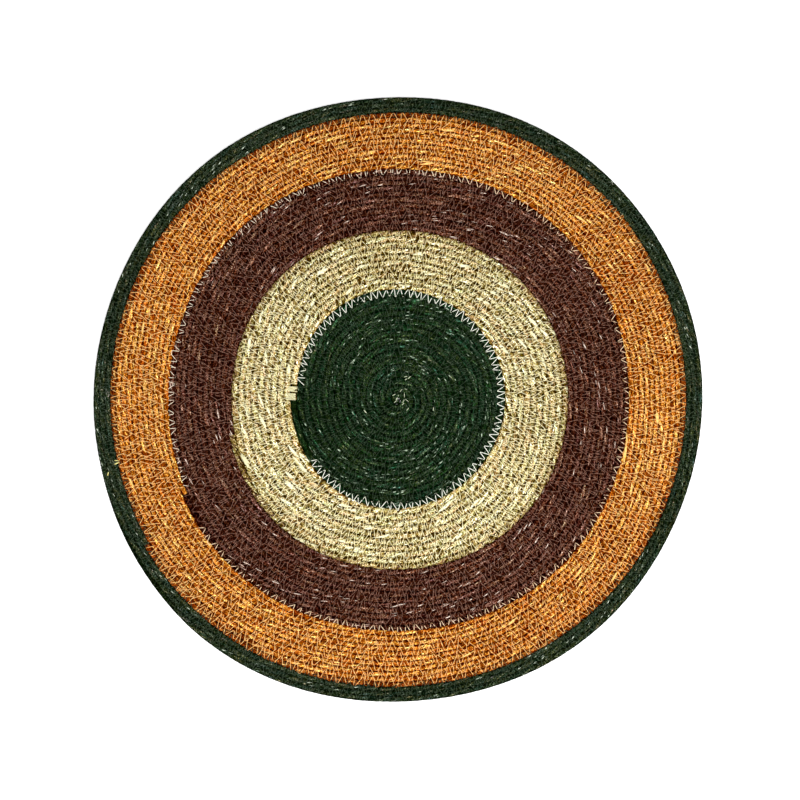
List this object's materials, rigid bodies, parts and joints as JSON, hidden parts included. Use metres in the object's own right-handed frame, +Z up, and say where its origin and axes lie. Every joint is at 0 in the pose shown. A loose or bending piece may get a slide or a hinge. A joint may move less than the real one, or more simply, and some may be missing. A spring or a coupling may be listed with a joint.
{
  "type": "round coiled seagrass placemat",
  "caption": "Flat round table mat of twisted grass cord, coiled from the middle outwards and sewn turn to turn, in concentric dyed bands.",
  "frame": {"origin": "middle of the mat's box, on the surface that it lies on", "axes": "+Z up, across the mat's thickness; +X to the right and +Y to the top of the picture"},
  "size_m": [0.3794, 0.3768, 0.0041],
  "materials": {
    "green_cord": "dry twisted grass cord, dyed bottle green",
    "straw_cord": "dry twisted grass cord, undyed straw",
    "brown_cord": "dry twisted grass cord, dyed dark brown",
    "orange_cord": "dry twisted grass cord, dyed mustard orange"
  },
  "bodies": {
    "root": {"centre_coil": "green_cord", "straw_band": "straw_cord", "brown_band": "brown_cord", "orange_band": "orange_cord", "rim_coil": "green_cord"}
  },
  "joints": []
}
